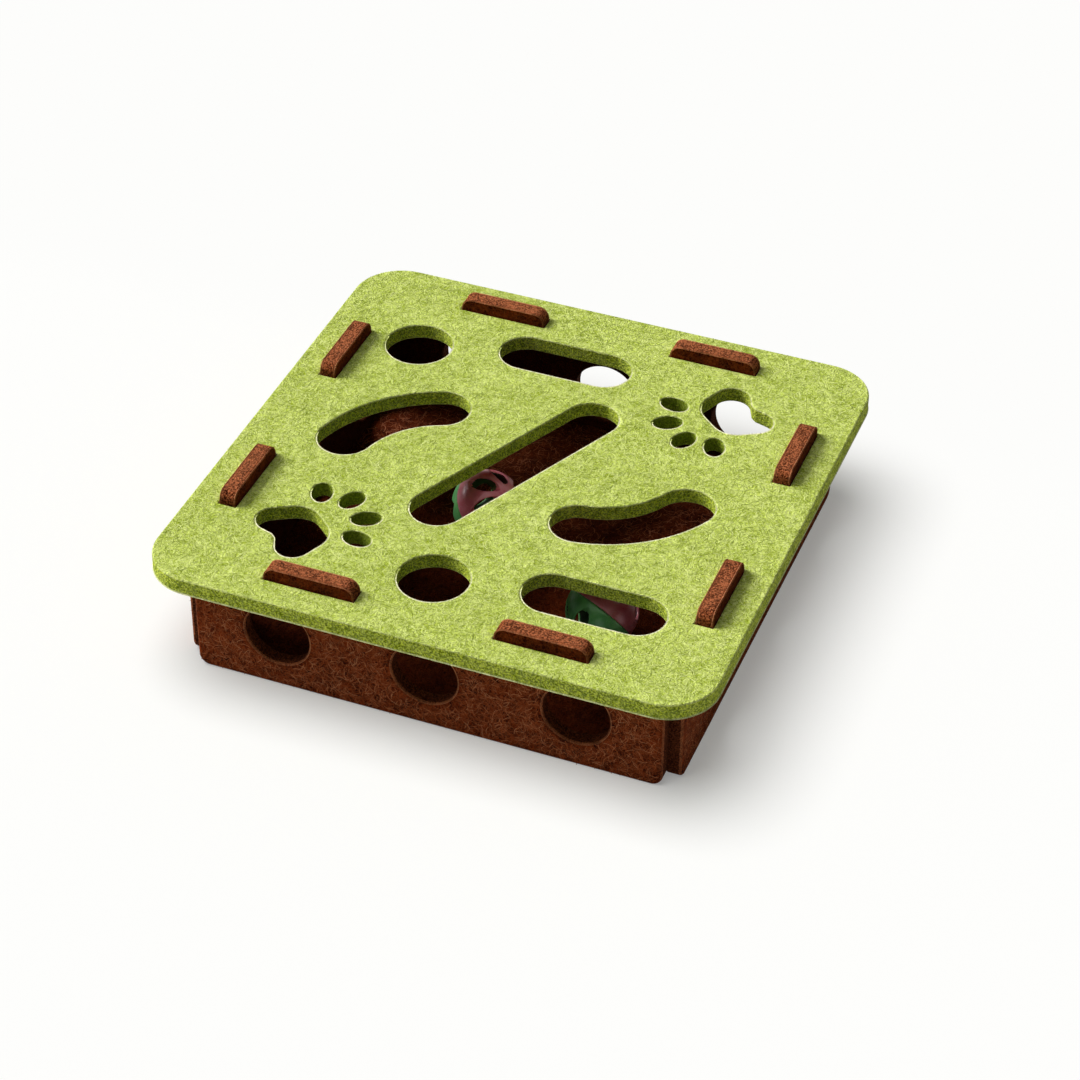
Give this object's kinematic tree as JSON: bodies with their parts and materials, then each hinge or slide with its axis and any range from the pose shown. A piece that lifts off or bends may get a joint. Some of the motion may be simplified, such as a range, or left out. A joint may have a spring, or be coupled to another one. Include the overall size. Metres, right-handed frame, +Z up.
{
  "type": "cat felt maze box",
  "caption": "Square felt box on edge-standing walls with reach-in holes, a slotted lift-off lid held by tabs, and lattice bell balls that roll inside for a cat to chase.",
  "frame": {"origin": "on the ground, under the middle of the box", "axes": "+Z up through the lid, +X to the right along the front wall, +Y from the front wall to the back wall"},
  "size_m": [0.3, 0.3, 0.075],
  "materials": {
    "green_felt": "heathered needle-punched felt board with cut edges",
    "brown_felt": "heathered needle-punched felt board with cut edges",
    "pink_plastic": "glossy moulded plastic",
    "green_plastic": "glossy moulded plastic",
    "bell_metal": "bright stamped sheet"
  },
  "bodies": {
    "box": {"bottom_panel": "brown_felt", "front_wall": "brown_felt", "back_wall": "brown_felt", "left_wall": "brown_felt", "right_wall": "brown_felt"},
    "lid": {"lid_panel": "green_felt"},
    "bell_1": {"ball_1_bell_crown": "bell_metal", "ball_1_bell_cup": "bell_metal", "ball_1_pellet": "bell_metal"},
    "ball_1": {"ball_1_pink_half": "pink_plastic", "ball_1_green_half": "green_plastic"},
    "bell_2": {"ball_2_bell_crown": "bell_metal", "ball_2_bell_cup": "bell_metal", "ball_2_pellet": "bell_metal"},
    "ball_2": {"ball_2_pink_half": "pink_plastic", "ball_2_green_half": "green_plastic"}
  },
  "joints": [
    {"name": "lid_lift", "type": "slide", "parent": "box", "child": "lid", "axis": [0, 0, 1], "range_m": [0, 0.08]},
    {"name": "ball_1_roll", "type": "slide", "parent": "box", "child": "bell_1", "axis": [1, 0, 0], "range_m": [-0.08, 0.13]},
    {"name": "ball_1_spin", "type": "hinge", "parent": "bell_1", "child": "ball_1", "pos_m": [-0.025, 0.011, 0.0283], "axis": [0, 1, 0], "range_deg": [-243, 394]},
    {"name": "ball_2_roll", "type": "slide", "parent": "box", "child": "bell_2", "axis": [1, 0, 0], "range_m": [-0.168, 0.042]},
    {"name": "ball_2_spin", "type": "hinge", "parent": "bell_2", "child": "ball_2", "pos_m": [0.063, -0.049, 0.0283], "axis": [0, 1, 0], "range_deg": [-508, 128]}
  ],
  "couplings": [
    {"joint": "ball_1_spin", "follows": "ball_1_roll", "rad_per_m": 52.632},
    {"joint": "ball_2_spin", "follows": "ball_2_roll", "rad_per_m": 52.632}
  ]
}
